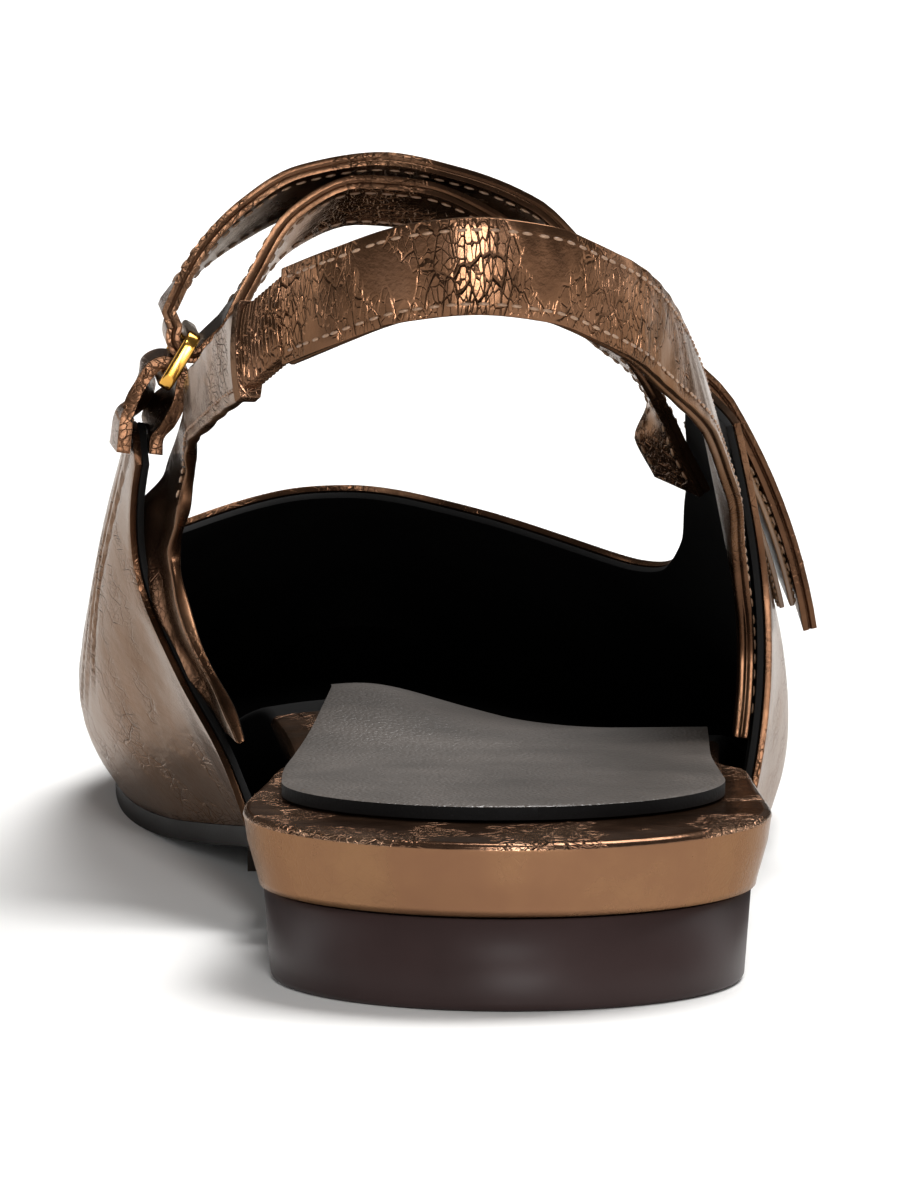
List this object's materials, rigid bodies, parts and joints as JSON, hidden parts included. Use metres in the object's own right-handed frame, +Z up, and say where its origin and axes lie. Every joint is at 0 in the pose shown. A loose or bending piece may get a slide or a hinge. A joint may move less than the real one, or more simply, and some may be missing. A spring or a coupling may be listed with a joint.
{
  "type": "sling back flat",
  "caption": "Right-foot sling back flat in crackled bronze leather with an instep strap through a gold ring",
  "frame": {"origin": "on the floor in the middle of the heel's flat tread, where the heel rests", "axes": "X to the outer side of the foot, Y along the shoe to the toe, Z up"},
  "size_m": [0.0828, 0.262, 0.0838],
  "materials": {
    "bronze_crackle_leather": "crackled metallic",
    "sole_dark": "satin",
    "heel_dark": "satin",
    "pad_black": "soft sheen",
    "ring_gold": "polished gold",
    "tape": "hook and loop"
  },
  "bodies": {
    "root": {"outsole": "sole_dark", "heel": "heel_dark", "footbed": "bronze_crackle_leather", "heel_pad": "pad_black", "upper": "bronze_crackle_leather", "sling_strap": "bronze_crackle_leather", "sling_elastic": "bronze_crackle_leather", "sling_base": "bronze_crackle_leather", "instep_strap": "bronze_crackle_leather", "ring_tab": "bronze_crackle_leather", "ring": "ring_gold", "hook_tape": "tape", "loop_tape": "tape"}
  },
  "joints": []
}
